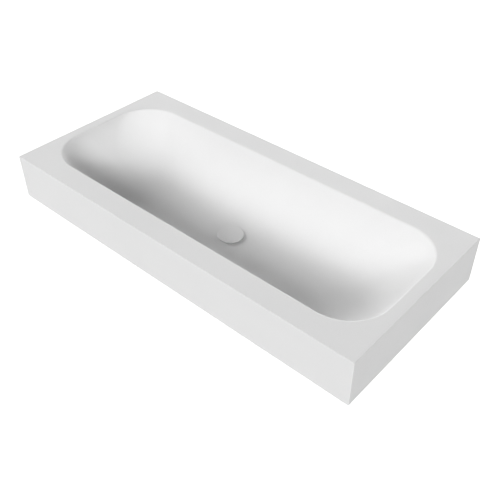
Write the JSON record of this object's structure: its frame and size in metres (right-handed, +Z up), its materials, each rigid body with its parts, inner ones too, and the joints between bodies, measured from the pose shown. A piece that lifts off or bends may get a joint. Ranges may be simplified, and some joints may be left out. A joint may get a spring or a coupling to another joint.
{
  "type": "washbasin",
  "caption": "Wall-hung rectangular washbasin, cast in one piece with a long rounded bowl, no tap hole and no overflow, with a push-to-open waste under a flat round cover.",
  "frame": {"origin": "midway between the two wall fixing holes, on the wall plane", "axes": "+X to the right along the basin as seen from the room, +Y into the wall, +Z up"},
  "size_m": [1, 0.46, 0.2066],
  "materials": {
    "solid_surface": "matt white cast mineral-filled resin",
    "chromed_brass": "polished chrome plate on brass",
    "plain_brass": "turned brass, uncoated",
    "black_rubber": "moulded black rubber",
    "white_nylon": "moulded natural nylon",
    "grey_acetal": "moulded grey acetal",
    "stainless_steel": "bright stainless steel"
  },
  "bodies": {
    "basin": {"basin_body": "solid_surface", "wall_fixing_bushes": "white_nylon", "waste_body": "chromed_brass", "flange_seal": "black_rubber", "under_seal": "black_rubber", "slip_washer": "white_nylon", "back_nut": "plain_brass", "latch_spring": "stainless_steel", "guide_pin": "stainless_steel", "cartridge_sleeve": "white_nylon", "cartridge_cap": "grey_acetal"},
    "cover": {"waste_cover": "solid_surface", "plug_carrier": "white_nylon", "plug_seal": "black_rubber", "height_stud": "stainless_steel", "lock_nut": "stainless_steel", "latch_plunger": "grey_acetal", "rotor_washer": "grey_acetal", "rotor_clip": "stainless_steel"},
    "rotor": {"latch_rotor": "grey_acetal"}
  },
  "joints": [
    {"name": "cover_lift", "type": "slide", "parent": "basin", "child": "cover", "axis": [0, 0, 1], "range_m": [0, 0.009], "deforming": ["latch_spring"]},
    {"name": "rotor_turn", "type": "hinge", "parent": "cover", "child": "rotor", "pos_m": [0, -0.237, -0.0967], "axis": [0, 0, 1], "range_deg": [0, 45]}
  ],
  "couplings": [
    {"joint": "rotor_turn", "follows": "cover_lift", "rad_per_m": 87.266}
  ]
}
